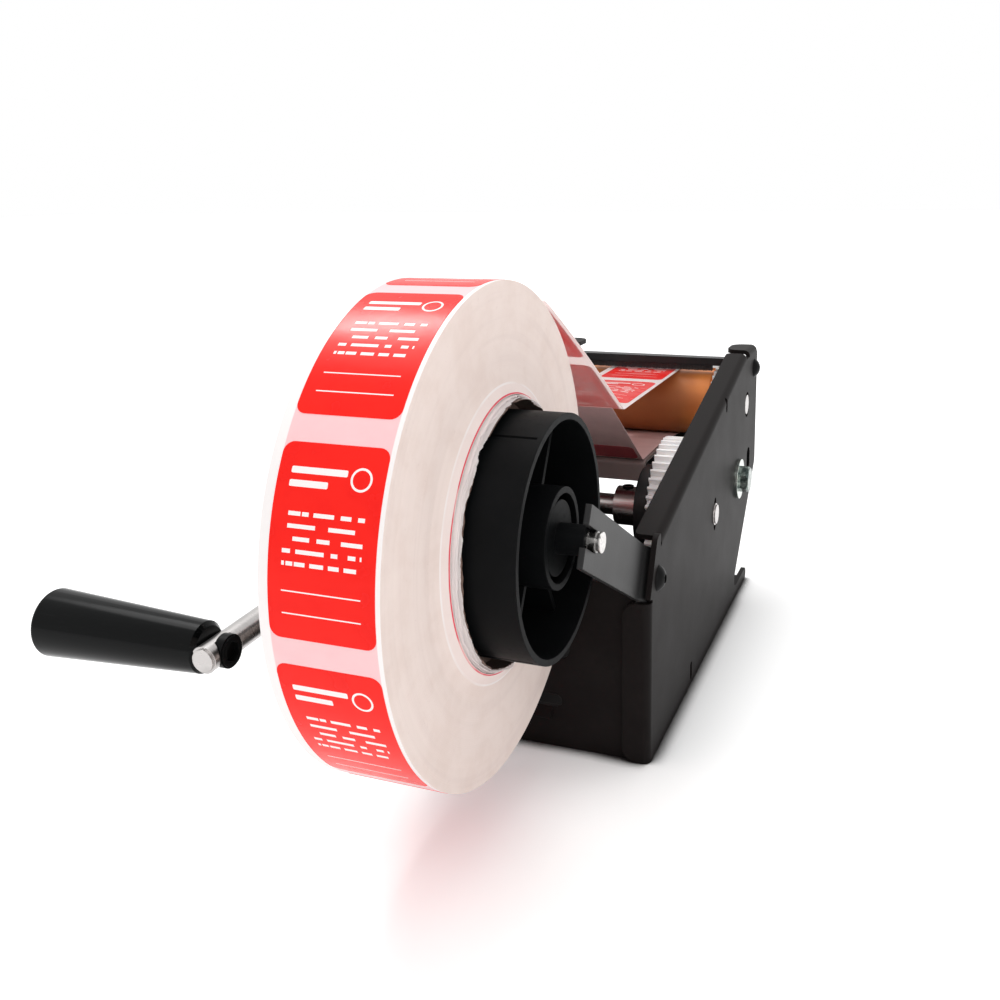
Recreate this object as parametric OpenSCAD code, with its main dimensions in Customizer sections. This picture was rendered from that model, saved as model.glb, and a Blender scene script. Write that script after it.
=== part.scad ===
// Hand-lever label dispenser. Origin at the middle of the chassis footprint, on the table.
// +X right, +Y forward to the peel edge, +Z up. Millimetres.

/* [Chassis] */
// Width over the outer faces of the two side plates
chassis_w = 102; // [98:0.5:130]
// Thickness of the folded steel sheet
sheet_t = 2; // [1.5:0.1:2.4]
// Outer radius of every fold
fold_r = 3; // [2.6:0.1:4]
// Distance from the origin back to the rear face
chassis_back = 90; // [88:1:110]
// Distance from the origin forward to the plates' front edge
chassis_front = 123; // [122:1:140]
// Height of the sloping top edge straight above the origin
top_rise = 97.5; // [96:0.5:110]
// Slope of the top edge in degrees
top_slope = 13.1; // [10:0.1:14]
// Width of the folded flanges
flange_w = 10; // [8:0.5:12]
// Height of the rear flanges
rear_flange_h = 60; // [40:1:60]
// Height of the front tabs' upper face
tab_z = 119.2; // [118.6:0.1:128]
// Inward reach of the front tabs
tab_w = 12; // [10:0.5:20]
// Height of the base pan's rear panel
panel_h = 65.5; // [60:0.5:68]
// Width of the roll's cut-out in the rear panel
panel_gap_w = 42; // [40:1:60]
// Height of the cut-out's lower edge
panel_gap_z = 34; // [24:1:35]

/* [Feed rollers] */
// Drive roller axis, forward of the origin
roller_y = 95.6; // [94:0.2:97]
// Drive roller axis, height
roller_z = 93.1; // [92:0.2:94]
// Radius of the rubber drive roller
roller_r = 16; // [14:0.25:16.5]
// Gap between the rollers' ends and the gears
roller_gap = 0.4; // [0.4:0.1:4]
// Diameter of the drive roller's axle and of the lever shaft
shaft_d = 9.525; // [8:0.1:9.6]
// Pressure roller axis, forward of the origin
press_y = 102.8; // [100:0.2:105]
// Pressure roller axis, height
press_z = 65; // [62:0.2:66]
// Diameter of the pressure roller's axle
press_axle_d = 7.94; // [5:0.1:8]

/* [Gear train] */
// Gear module
gear_module = 1.25; // [1.15:0.01:1.3]
// Teeth on the lever's drive gear
drive_teeth = 50; // [44:1:52]
// Teeth on the idler gear
idler_teeth = 36; // [34:1:42]
// Teeth on the drive roller's pinion
pinion_teeth = 26; // [22:1:27]
// Face width of the drive gear
drive_gear_w = 12.7; // [10:0.1:13]
// Face width of the idler and the pinion
idler_w = 5; // [4:0.1:6]
// Play between meshing teeth along the pitch circle
mesh_play = 0.2; // [0.1:0.05:0.4]

/* [Lever] */
// Lever shaft axis, forward of the origin
lever_y = 20.1; // [18:0.1:22]
// Lever shaft axis, height
lever_z = 59.5; // [58:0.1:60]
// Gap from the left plate to the lever bar's centre plane
lever_gap = 27.9; // [26:0.1:39]
// Length from the shaft's axis to the bar's free end
lever_len = 183.5; // [120:0.5:220]
// Diameter of the lever bar
bar_d = 9.5; // [8:0.1:11]
// Angle of the resting bar below level
lever_drop = 2.3; // [0:0.1:6]
// Length of the grip
grip_len = 67.3; // [50:0.1:90]
// Diameter of the grip at the bar
grip_d1 = 17.7; // [15:0.1:22]
// Diameter of the grip at its rounded end
grip_d2 = 24; // [23:0.1:30]

/* [Label roll] */
// Rod axis, behind the origin
rod_back = 139; // [138:0.5:150]
// Rod axis, height
rod_z = 98.7; // [98:0.1:110]
// Diameter of the rod that carries the hub
rod_d = 6.35; // [5:0.05:6.4]
// Radius of the full label roll
roll_r = 76.3; // [60:0.1:78]
// Width of the label web
web_w = 35.2; // [20:0.1:36]
// Outer diameter of the hub
hub_d = 75; // [70:0.5:75.4]
// Length of the hub
hub_len = 73.4; // [60:0.2:80]
// Gap between the hub and the paper core
core_gap = 0.6; // [0.4:0.1:1]
// Wall of the paper core
core_wall = 2.2; // [1.5:0.1:3]
// Sideways run-out of the roll's inner turns
roll_lip = 3.5; // [0:0.1:5]

/* [Roll arms] */
// Width of the strip
arm_w = 19; // [15:0.5:21]
// Thickness of the strip
arm_t = 1.9; // [1.5:0.1:2.2]
// Slope of the arms in degrees
arm_slope = 28.5; // [26:0.5:30]
// Length of the arm beyond the rod, forward
arm_reach = 107.3; // [90:0.1:115]
// Inward offset of the arm's rear stretch
arm_jog = 2; // [1:0.1:3]

/* [Web path] */
// Slope of the web between the roll and the bend
web_slope = 30.7; // [29:0.1:32]
// Thickness of the web and of the liner
web_t = 0.3; // [0.2:0.05:0.4]
// Height of the guide plate's upper face
guide_z = 79.9; // [79:0.1:82]
// Distance from the origin to the guide plate's rear edge
guide_back = 23.5; // [22:0.5:28]
// Length of the guide plate
guide_len = 38; // [20:0.5:42]
// Slope of the liner's loose tail in degrees
tail_slope = 35; // [30:1:38]
// Length of the loose tail
tail_len = 58; // [20:1:60]

/* [Hidden] */

$fn = 96;

// Gap kept between pieces that move past each other
clear = 0.3;
// Radial running fit of a shaft in its bore
run_fit = 0.05;
// Radial fit of a screw in its hole
screw_fit = 0.1;

half_w = chassis_w / 2;
inner_w = half_w - sheet_t;
pressure_angle = 20;

steel_black = [0.16, 0.16, 0.17];
moulded_black = [0.09, 0.09, 0.1];
bare_steel = [0.78, 0.79, 0.8];
zinc = [0.72, 0.76, 0.74];
nylon_white = [0.94, 0.93, 0.91];
gum_orange = [0.85, 0.5, 0.2];
label_red = [0.85, 0.12, 0.16];
liner_grey = [0.85, 0.79, 0.77];
paper_white = [0.93, 0.9, 0.87];
board_brown = [0.55, 0.45, 0.38];

// Screws: M5 button heads on the arms and the front bar, a 1/4 inch hex bolt for the idler
arm_screw_d = 5;
arm_screw_head_d = 9.4;
arm_screw_y = 68.4;
front_screw_d = 5;
front_screw_head_d = 9.6;
front_screw_z = 108.2;
bolt_d = 6.35;
bolt_af = 11.1;
bolt_head_h = 4.4;
washer_d = 19;
washer_t = 1.6;
set_screw_d = 5;

// Stations along X, from the right plate inwards
bearing_len = 6;
bearing_d = 17;
gear_right = inner_w - bearing_len - 2.6;
idler_left = gear_right - idler_w;
clutch_w = 8.4;
clutch_right = gear_right - drive_gear_w - clear;
clutch_left = clutch_right - clutch_w;
clutch_r = 19.3;
collar_w = 9.5;
collar_r = 8.75;
collar_right = clutch_left - 2.4;
roller_len = 2 * (idler_left - roller_gap);
lever_plane = half_w + lever_gap;

// Pitch radii, and the idler's axis where its two centre distances meet
function pitch_r(teeth) = gear_module * teeth / 2;
lever_axis = [lever_y, lever_z];
roller_axis = [roller_y, roller_z];
press_axis = [press_y, press_z];
rod_axis = [-rod_back, rod_z];
drive_centres = pitch_r(drive_teeth) + pitch_r(idler_teeth);
pinion_centres = pitch_r(pinion_teeth) + pitch_r(idler_teeth);
train_span = norm(roller_axis - lever_axis);
train_angle = direction(roller_axis - lever_axis);
idler_swing = acos(
    (pow(drive_centres, 2) + pow(train_span, 2) - pow(pinion_centres, 2))
    / (2 * drive_centres * train_span)
);
idler_axis = lever_axis + polar(drive_centres, train_angle - idler_swing);
press_r = norm(press_axis - roller_axis) - roller_r - web_t - 2 * clear;

// Heights and stations of the web
web_lift = clear + web_t / 2;
peel_z = roller_z + roller_r;
web_z = peel_z + web_lift;
peel_t = 1.5;
nose_r = peel_t / 2;
nose = [roller_y + 23.7, peel_z - nose_r];
roll_wrap = roll_r + web_lift;
web_start = rod_axis + polar(roll_wrap, 90 - web_slope);
web_bend = [web_start.x + (web_start.y - web_z) / tan(web_slope), web_z];
liner_z = guide_z + web_lift;
liner_rear = [guide_back, liner_z];
liner_front = [guide_back + guide_len, liner_z];
tail_end = liner_rear + polar(tail_len, 180 - tail_slope);

// ---- Plane geometry ----

function direction(v) = atan2(v.y, v.x);
function polar(r, a) = [r * cos(a), r * sin(a)];
function unit(v) = v / norm(v);
function flat(p) = [p.x, p.y];

// Points of an arc about a centre, from one angle to another
function arc(centre, r, from, to, steps = 8) =
    [for (i = [0:steps]) centre + polar(r, from + (to - from) * i / steps)];

// A corner b between a and c, rounded to the radius held in b's third value
function corner(a, b, c, steps = 6) =
    let (
        u = unit(flat(a) - flat(b)),
        v = unit(flat(c) - flat(b)),
        half = acos(u * v) / 2,
        centre = flat(b) + unit(u + v) * b.z / sin(half),
        from = direction(flat(b) + u * b.z / tan(half) - centre),
        to = direction(flat(b) + v * b.z / tan(half) - centre),
        turn = to - from > 180 ? to - from - 360 : to - from < -180 ? to - from + 360 : to - from
    )
    b.z == 0 ? [flat(b)] : arc(centre, b.z, from, from + turn, steps);

// Closed outline from corners [x, y, radius]
function rounded(corners) =
    let (n = len(corners))
    [for (i = [0:n - 1]) each corner(corners[(i + n - 1) % n], corners[i], corners[(i + 1) % n])];

// Strip of even thickness along an open path
function ribbon(path, t) =
    let (
        n = len(path),
        side = [for (i = [0:n - 1])
            let (along = unit(path[min(i + 1, n - 1)] - path[max(i - 1, 0)]))
            [-along.y, along.x] * t / 2]
    )
    concat([for (i = [0:n - 1]) path[i] + side[i]], [for (i = [n - 1:-1:0]) path[i] - side[i]]);

// Extrudes an outline drawn in Y and Z along +X
module along_x(length) rotate([90, 0, 90]) linear_extrude(length) children();

// Upright slot with round ends
module slot(centre, width, height) translate(centre) {
    for (end = [-1, 1]) translate([0, end * (height - width) / 2]) circle(d = width);
    square([width, height - width], center = true);
}

// Round rod along X from x1 to x2 about an axis given in Y and Z
module rod_x(axis, d, x1, x2) translate([x1, axis.x, axis.y]) rotate([0, 90, 0]) cylinder(d = d, h = x2 - x1);

// Ring along X from x1 to x2
module ring_x(axis, d, bore_d, x1, x2) difference() {
    rod_x(axis, d, x1, x2);
    rod_x(axis, bore_d, x1 - 1, x2 + 1);
}

module on_both_sides() {
    children();
    mirror([1, 0, 0]) children();
}

// ---- Folded sheet ----

// A fold along +Y: outer face at X = 0, flange towards -X with its upper face at Z = 0
module fold(length, width, end_r = 0) {
    translate([0, length, 0]) rotate([90, 0, 0]) linear_extrude(length) polygon(concat(
        arc([-fold_r, -fold_r], fold_r, 0, 90),
        arc([-fold_r, -fold_r], fold_r - sheet_t, 90, 0)
    ));
    translate([0, 0, -sheet_t]) linear_extrude(sheet_t) polygon(rounded([
        [-fold_r, 0, 0], [-fold_r, length, 0], [-width, length, end_r], [-width, 0, end_r]
    ]));
}

function top_edge(y) = top_rise + y * tan(top_slope);

// Height at which the plate's flat face ends under the sloping fold
function fold_line(y) = top_edge(y) - fold_r / cos(top_slope);

// Slit that frees the end of a fold
relief = 1;

top_fold_from = -75;
top_fold_to = 92;
tab_from = 101;
toe_h = 6;
toe_back = 19;
front_cut_z = 58;

module plate_outline() polygon(rounded([
    [-chassis_back + fold_r, 0, 0],
    [-chassis_back + fold_r, rear_flange_h + relief, 0],
    [-chassis_back, rear_flange_h + 2 * relief, 0],
    [-chassis_back + 9.5, top_edge(top_fold_from) + 2, 4],
    [top_fold_from - relief, top_edge(top_fold_from) + 1.5, 0.5],
    [top_fold_from - relief, fold_line(top_fold_from - relief), 0],
    [top_fold_to + relief, fold_line(top_fold_to + relief), 0],
    [top_fold_to + relief, tab_z - fold_r, 0.5],
    [chassis_front, tab_z - fold_r, 1.5],
    [chassis_front, front_cut_z, 5],
    [65, toe_h, 4],
    [chassis_front - toe_back, toe_h, toe_h / 2 - 0.1],
    [chassis_front - toe_back, 0, toe_h / 2 - 0.1]
]));

module plate_holes() {
    translate(lever_axis) circle(d = shaft_d + 0.4);
    slot(lever_axis, 4.2, 14.8);
    slot(roller_axis, shaft_d + 0.4, shaft_d + 2.9);
    slot(press_axis - [0, 1.6], press_axle_d + 0.4, press_axle_d + 4.6);
    slot([-23.6, 5.9], 3, 7.8);
    translate([front_screw_y, front_screw_z]) circle(d = front_screw_d + 2 * screw_fit);
    translate(arm_point(arm_screw_y)) circle(d = arm_screw_d + 2 * screw_fit);
}

// A side plate on the right-hand side, without the idler's slot
module side_plate() difference() {
    union() {
        translate([inner_w, 0, 0]) along_x(sheet_t) difference() {
            plate_outline();
            plate_holes();
        }
        translate([half_w, -chassis_back, 0]) rotate([90, 0, 0]) fold(rear_flange_h, flange_w, 5);
        translate([half_w, top_fold_from, top_edge(top_fold_from)]) rotate([top_slope, 0, 0])
            fold((top_fold_to - top_fold_from) / cos(top_slope), flange_w, 2);
        translate([half_w, tab_from, tab_z]) fold(chassis_front - 2 - tab_from, tab_w, 6);
    }
    // The upper locating slot runs into the fold
    translate([inner_w - 0.5, 0, 0]) along_x(sheet_t + 1) slot([42.5, fold_line(42.5) - 1], 3, 6.4);
}

module right_side_plate() color(steel_black) difference() {
    side_plate();
    translate([inner_w - 1, 0, 0]) along_x(sheet_t + 2) slot(idler_axis, bolt_d + 0.4, bolt_d + 5);
}

module left_side_plate() color(steel_black) mirror([1, 0, 0]) side_plate();

// Floor, rear panel with the roll's cut-out, and low side and front lips
pan_front = 100;
pan_lip_h = 10;
pan_half = inner_w;
panel_half = half_w - flange_w + 3.8;
vent_w = 36;
vent_h = 5;
vent_z = 18;

module base_pan() color(steel_black) {
    difference() {
        translate([-pan_half, -chassis_back + sheet_t, 0]) cube([2 * pan_half, chassis_back + pan_front - sheet_t, sheet_t]);
        on_both_sides() translate([panel_half, -chassis_back + sheet_t - 1, -1])
            cube([pan_half, fold_r + sheet_t + 3, sheet_t + 2]);
    }
    for (side = [-1, 1]) translate([side * (pan_half - sheet_t / 2), 0, 0])
        translate([-sheet_t / 2, 8 - chassis_back, 0]) cube([sheet_t, chassis_back + pan_front - 28, pan_lip_h]);
    translate([-pan_half + 12, pan_front - sheet_t, 0]) cube([2 * pan_half - 24, sheet_t, toe_h]);
    translate([0, -chassis_back + 2 * sheet_t, 0]) rotate([90, 0, 0]) linear_extrude(sheet_t) difference() {
        polygon(rounded([
            [-panel_half, 0, 0], [-panel_half, panel_h, 3], [-panel_gap_w / 2, panel_h, 3],
            [-panel_gap_w / 2, panel_gap_z, 5], [panel_gap_w / 2, panel_gap_z, 5],
            [panel_gap_w / 2, panel_h, 3], [panel_half, panel_h, 3], [panel_half, 0, 0]
        ]));
        translate([0, vent_z]) rotate(90) slot([0, 0], vent_h, vent_w);
    }
    translate([-vent_w / 2 + 4, -chassis_back + sheet_t, 0]) along_x(vent_w - 8) polygon(rounded([
        [sheet_t, vent_z - vent_h / 2, 0], [0, vent_z - vent_h / 2, 1], [-2.4, vent_z - vent_h / 2 - 4, 0.4],
        [-1.2, vent_z - vent_h / 2 - 4.4, 0.4], [0, vent_z - vent_h / 2 - 2.4, 0.5], [sheet_t, vent_z - vent_h / 2 - 2.4, 0]
    ]));
}

// Plate under the liner, carried by the left side plate
guide_t = 1.5;
guide_drop = 9.6;
guide_right = clutch_left - 0.5;

module guide_plate() color(steel_black) {
    translate([-inner_w, 0, 0]) along_x(inner_w + guide_right) polygon(rounded([
        [guide_back, guide_z - guide_drop, 0], [guide_back, guide_z, 2.5],
        [guide_back + guide_len, guide_z, 0.7], [guide_back + guide_len, guide_z - guide_t, 0.7],
        [guide_back + guide_t, guide_z - guide_t, 1], [guide_back + guide_t, guide_z - guide_drop, 0]
    ]));
    translate([-inner_w, guide_back + 9, guide_z - 18]) cube([guide_t, guide_len - 12, 18 - guide_t]);
}

// ---- Front end ----

bar_back = nose.x - 7.3;
bar_front = nose.x - 1;
bar_low = 101;
bar_end_top = 112.6;
bar_end_w = 12;
front_screw_y = (bar_back + bar_front) / 2;
peel_half = roller_len / 2 - 1;

// Moulded bar under the peel plate, with raised ends that take the screws
module front_bar() color(moulded_black) difference() {
    union() {
        translate([-inner_w, 0, 0]) along_x(2 * inner_w) polygon([
            [bar_back, bar_low], [bar_front - 2.5, bar_low], [bar_front - 0.3, peel_z - 3.1],
            [bar_front, peel_z - peel_t], [bar_back, peel_z - peel_t]
        ]);
        on_both_sides() translate([inner_w - bar_end_w, bar_back, bar_low + 5])
            cube([bar_end_w, bar_front - bar_back, bar_end_top - bar_low - 5]);
    }
    on_both_sides() rod_x([front_screw_y, front_screw_z], front_screw_d + 2 * screw_fit, inner_w - bar_end_w - 1, inner_w + 1);
}

module peel_plate() color(bare_steel) translate([-peel_half, 0, 0]) along_x(2 * peel_half) polygon(concat(
    [[nose.x - 14.8, peel_z - peel_t], [nose.x - 14.8, peel_z]],
    arc(nose, nose_r, 90, -90)
));

brush_y = 91;
brush_d = 6;
ferrule_z = 113;
ferrule_h = 3.7;
backing_h = 1;
bristle_half = idler_left - 0.9;
bristle_rows = 4;
bristles_per_row = 90;
bristle_t = 0.35;

// Channel that grips the brush's backing, deeper beside the brush
module brush_holder() color(moulded_black) difference() {
    translate([-inner_w, brush_y - brush_d / 2, ferrule_z]) cube([2 * inner_w, brush_d, ferrule_h]);
    translate([-bristle_half - 1 - screw_fit, brush_y - brush_d / 2 + 1, ferrule_z - 1])
        cube([2 * (bristle_half + 1 + screw_fit), brush_d - 2, backing_h + 1]);
    // Its ends tuck under the plates' top flanges
    on_both_sides() translate([half_w - flange_w - 0.6, brush_y - brush_d, ferrule_z + 2.5])
        cube([flange_w, 2 * brush_d, ferrule_h]);
}

// Length of one bristle: neighbours differ a little
function bristle_tip(i) = web_z + web_lift + 0.08 * (1 + sin(i * 67));

// One row as a comb: strands hanging from a strip of the backing
module bristle_row() {
    pitch = 2 * bristle_half / bristles_per_row;
    rotate([90, 0, 0]) linear_extrude(bristle_t, center = true) polygon(concat(
        [[bristle_half, ferrule_z + backing_h / 2], [-bristle_half, ferrule_z + backing_h / 2]],
        [for (i = [0:bristles_per_row - 1])
            let (x = -bristle_half + (i + 0.5) * pitch - bristle_t / 2)
            each [
                [x, ferrule_z], [x, bristle_tip(i)],
                [x + bristle_t, bristle_tip(i)], [x + bristle_t, ferrule_z]
            ]]
    ));
}

module brush_bristles() color(moulded_black) {
    translate([-bristle_half - 1, brush_y - brush_d / 2 + 1, ferrule_z])
        cube([2 * bristle_half + 2, brush_d - 2, backing_h]);
    for (row = [0:bristle_rows - 1])
        translate([0, brush_y + (row - (bristle_rows - 1) / 2) * 0.9, 0]) bristle_row();
}

// ---- Fasteners: seat at Z = 0, head above, shank below ----

module button_screw(d, head_d, length) {
    head_h = head_d * 0.29;
    dome_r = (pow(head_d / 2, 2) + pow(head_h, 2)) / (2 * head_h);
    difference() {
        union() {
            intersection() {
                translate([0, 0, head_h - dome_r]) sphere(dome_r);
                cylinder(d = head_d, h = head_h);
            }
            translate([0, 0, -length]) cylinder(d = d, h = length);
        }
        translate([0, 0, head_h * 0.4]) cylinder(d = d * 0.7, h = head_h, $fn = 6);
    }
}

module hex(af, h) cylinder(d = af / cos(30), h = h, $fn = 6);

// Turns a part's Z axis to +X and sets its seat at x
module facing_right(x, axis) translate([x, axis.x, axis.y]) rotate([0, 90, 0]) children();

module front_screws() color(moulded_black) on_both_sides()
    facing_right(half_w, [front_screw_y, front_screw_z]) button_screw(front_screw_d, front_screw_head_d, 12);

module arm_screws() color(moulded_black) on_both_sides()
    facing_right(half_w, arm_point(arm_screw_y)) button_screw(arm_screw_d, arm_screw_head_d, 10);

module arm_nuts() color(zinc) on_both_sides()
    facing_right(inner_w - arm_t - 4, arm_point(arm_screw_y)) difference() {
        hex(8, 4);
        translate([0, 0, -1]) cylinder(d = arm_screw_d + 2 * screw_fit, h = 6);
    }

module idler_bolt() color(zinc) facing_right(half_w + washer_t, idler_axis) {
    intersection() {
        hex(bolt_af, bolt_head_h);
        translate([0, 0, -bolt_af]) cylinder(r1 = bolt_af * 1.9, r2 = bolt_af * 0.5, h = bolt_af + bolt_head_h);
    }
    shank = half_w + washer_t - idler_left + 8.4;
    translate([0, 0, -shank]) cylinder(d = bolt_d, h = shank);
}

module idler_washer() color(zinc) ring_x(idler_axis, washer_d, bolt_d + 2 * screw_fit, half_w, half_w + washer_t);

module idler_spacer() color(bare_steel)
    ring_x(idler_axis, 12, bolt_d + 2 * screw_fit, gear_right + clear, inner_w);

module idler_nut() color(zinc) facing_right(idler_left - clear - 5.6, idler_axis) difference() {
    hex(bolt_af, 5.6);
    translate([0, 0, -1]) cylinder(d = bolt_d + 2 * screw_fit, h = 8);
}

// ---- Roll arms ----

// Point on the arm's centre line, y forward of the rod's axis along the arm
function arm_point(y) = rod_axis + polar(y, -arm_slope);

slot_w = rod_d + 0.35;
arm_tail = 8.7;
jog_from = 59.3;
jog_len = 5;

module roll_arm() translate([0, rod_axis.x, rod_axis.y]) rotate([-arm_slope, 0, 0]) difference() {
    linear_extrude(arm_w, center = true) polygon([
        [inner_w - arm_jog, -arm_tail], [inner_w - arm_jog, jog_from],
        [inner_w, jog_from + jog_len], [inner_w, arm_reach],
        [inner_w - arm_t, arm_reach], [inner_w - arm_t, jog_from + jog_len],
        [inner_w - arm_jog - arm_t, jog_from], [inner_w - arm_jog - arm_t, -arm_tail]
    ]);
    translate([inner_w - arm_jog - arm_t - 1, 0, 0]) along_x(arm_t + arm_jog + 2) {
        circle(d = slot_w);
        translate([-arm_tail - 1, -slot_w / 2]) square([arm_tail + 1, slot_w]);
        translate([arm_screw_y, 0]) circle(d = arm_screw_d + 2 * screw_fit);
    }
}

module right_roll_arm() color(steel_black) roll_arm();
module left_roll_arm() color(steel_black) mirror([1, 0, 0]) roll_arm();

rod_half = inner_w + 0.3;

module roll_rod() color(bare_steel) difference() {
    rod_x(rod_axis, rod_d, -rod_half, rod_half);
    on_both_sides() difference() {
        rod_x(rod_axis, rod_d + 1, rod_half - 1.6, rod_half - 0.8);
        rod_x(rod_axis, rod_d - 0.8, rod_half - 2, rod_half);
    }
}

// ---- Shafts, bearings and gears ----

module bearings(axis) on_both_sides() {
    ring_x(axis, bearing_d, shaft_d + 2 * run_fit, inner_w - 2.4, inner_w);
    ring_x(axis, bearing_d - 4, shaft_d + 2 * run_fit, inner_w - bearing_len, inner_w);
}

module shaft_bearings() color(moulded_black) bearings(lever_axis);
module roller_bearings() color(moulded_black) bearings(roller_axis);

module lever_shaft() color(bare_steel) {
    rod_x(lever_axis, shaft_d, -lever_plane - 5.5, half_w + 0.3);
    rod_x(lever_axis, shaft_d - 1.2, half_w, half_w + 0.9);
}

module shaft_collar() color(bare_steel) difference() {
    ring_x(lever_axis, 2 * collar_r, shaft_d, collar_right - collar_w, collar_right);
    translate([collar_right - collar_w / 2, lever_y, lever_z]) cylinder(d = set_screw_d, h = collar_r + 1);
}

// Grub screw standing on the shaft, with a hexagon socket; up is +Z from the shaft's axis
module set_screw(length) translate([0, 0, shaft_d / 2]) difference() {
    cylinder(d = set_screw_d, h = length);
    translate([0, 0, length - 1.5]) cylinder(d = 2.9, h = 2, $fn = 6);
}

module collar_set_screw() color(moulded_black) difference() {
    translate([collar_right - collar_w / 2, lever_y, lever_z]) set_screw(4.6);
    rod_x(lever_axis, shaft_d, 0, collar_right);
}

// Body of the one-way clutch beside the drive gear
module clutch_hub() color(moulded_black) difference() {
    union() {
        rod_x(lever_axis, 2 * clutch_r, clutch_left + 1, clutch_right);
        rod_x(lever_axis, 2 * clutch_r - 2, clutch_left, clutch_right);
    }
    rod_x(lever_axis, shaft_d, clutch_left - 1, clutch_right + 1);
}

function involute(a) = tan(a) * 180 / PI - a;

// Half angle of a tooth at radius r, each flank giving up a quarter of the play
function half_tooth(teeth, r) =
    let (base_r = pitch_r(teeth) * cos(pressure_angle))
    90 / teeth - mesh_play / 4 / pitch_r(teeth) * 180 / PI + involute(pressure_angle)
    - (r > base_r ? involute(acos(base_r / r)) : 0);

// Radii at which a flank is drawn, from root to tip
function flank_radii(teeth) =
    let (
        root = pitch_r(teeth) - 1.25 * gear_module,
        tip = pitch_r(teeth) + gear_module,
        start = max(root, pitch_r(teeth) * cos(pressure_angle))
    )
    concat(root < start ? [root] : [], [for (i = [0:4]) start + (tip - start) * i / 4]);

// Involute gear outline with the middle of its first tooth at angle phase
module gear_outline(teeth, phase) {
    radii = flank_radii(teeth);
    last = len(radii) - 1;
    polygon([for (k = [0:teeth - 1])
        let (middle = phase + k * 360 / teeth)
        each concat(
            [for (i = [0:last]) polar(radii[i], middle - half_tooth(teeth, radii[i]))],
            [for (i = [last:-1:0]) polar(radii[i], middle + half_tooth(teeth, radii[i]))]
        )]);
}

// Phase that puts a gap of the driven gear over the driver's tooth, line of centres at angle line
function meshed(driver_phase, driver_teeth, driven_teeth, line) =
    line + 180 + (line - driver_phase) * driver_teeth / driven_teeth + 180 / driven_teeth;

drive_phase = 90;
idler_phase = meshed(drive_phase, drive_teeth, idler_teeth, direction(idler_axis - lever_axis));
pinion_phase = meshed(idler_phase, idler_teeth, pinion_teeth, direction(roller_axis - idler_axis));

module spur_gear(axis, teeth, phase, bore_d, x1, x2) translate([x1, axis.x, axis.y]) along_x(x2 - x1) difference() {
    gear_outline(teeth, phase);
    circle(d = bore_d);
}

module drive_gear() color(nylon_white)
    spur_gear(lever_axis, drive_teeth, drive_phase, shaft_d + 2 * run_fit, gear_right - drive_gear_w, gear_right);

module idler_gear() color(nylon_white)
    spur_gear(idler_axis, idler_teeth, idler_phase, bolt_d + 2 * run_fit, idler_left, gear_right);

module roller_pinion() color(nylon_white)
    spur_gear(roller_axis, pinion_teeth, pinion_phase, shaft_d, idler_left, gear_right);

module roller_axle() color(bare_steel) rod_x(roller_axis, shaft_d, -half_w, half_w);

// Rubber roller with a hair of chamfer at both ends
module drive_roller() color(gum_orange) difference() {
    union() {
        rod_x(roller_axis, 2 * roller_r, -roller_len / 2 + 0.6, roller_len / 2 - 0.6);
        rod_x(roller_axis, 2 * roller_r - 1.2, -roller_len / 2, roller_len / 2);
    }
    rod_x(roller_axis, shaft_d, -roller_len, roller_len);
}

module pressure_roller() color(steel_black)
    ring_x(press_axis, 2 * press_r, press_axle_d + 2 * run_fit, -roller_len / 2, roller_len / 2);

module press_axle() color(moulded_black) rod_x(press_axis, press_axle_d, -half_w, half_w);

// ---- Lever ----

lever_hub_r = 11;
lever_hub_half = 8.9;
socket_floor = shaft_d / 2 + 1.4;
grip_flat = 0.85;
cap_flat = 3.2;
grip_back = lever_len - 9;
grip_screw_d = 5;
cap_d = 11.4;
cap_h = 3.8;
bar_face = bar_d / 2 - grip_flat;
cap_seat = bar_d / 2 - cap_flat;

// The lever's own frame: origin on the shaft's axis in the bar's plane, bar along -Y
module in_lever() translate([-lever_plane, lever_y, lever_z]) rotate([lever_drop, 0, 0]) children();

module lever_hub() color(bare_steel) in_lever() difference() {
    translate([-lever_hub_half, 0, 0]) rotate([0, 90, 0]) cylinder(r = lever_hub_r, h = 2 * lever_hub_half);
    translate([-lever_hub_half - 1, 0, 0]) rotate([0, 90, 0]) cylinder(d = shaft_d, h = 2 * lever_hub_half + 2);
    translate([0, -socket_floor, 0]) rotate([90, 0, 0]) cylinder(d = bar_d, h = lever_hub_r);
    cylinder(d = set_screw_d, h = lever_hub_r + 1);
}

module hub_set_screw() color(moulded_black) in_lever() difference() {
    set_screw(lever_hub_r - shaft_d / 2 - 0.6);
    translate([-8, 0, 0]) rotate([0, 90, 0]) cylinder(d = shaft_d, h = 16);
}

// Round bar with a faced pad on both sides of the grip's screw
module lever_arm() color(bare_steel) in_lever() difference() {
    translate([0, -socket_floor, 0]) rotate([90, 0, 0]) union() {
        cylinder(d = bar_d, h = lever_len - socket_floor - 0.8);
        cylinder(d = bar_d - 1.6, h = lever_len - socket_floor);
    }
    for (seat = [[-bar_face - bar_d / 2, grip_d1], [cap_seat + bar_d / 2, cap_d]]) translate([seat.x, -grip_back, 0])
        rotate([0, 90, 0]) cylinder(d = seat.y + 0.6, h = bar_d, center = true);
    translate([-bar_d, -grip_back, 0]) rotate([0, 90, 0]) cylinder(d = grip_screw_d + 2 * screw_fit, h = 2 * bar_d);
}

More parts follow.
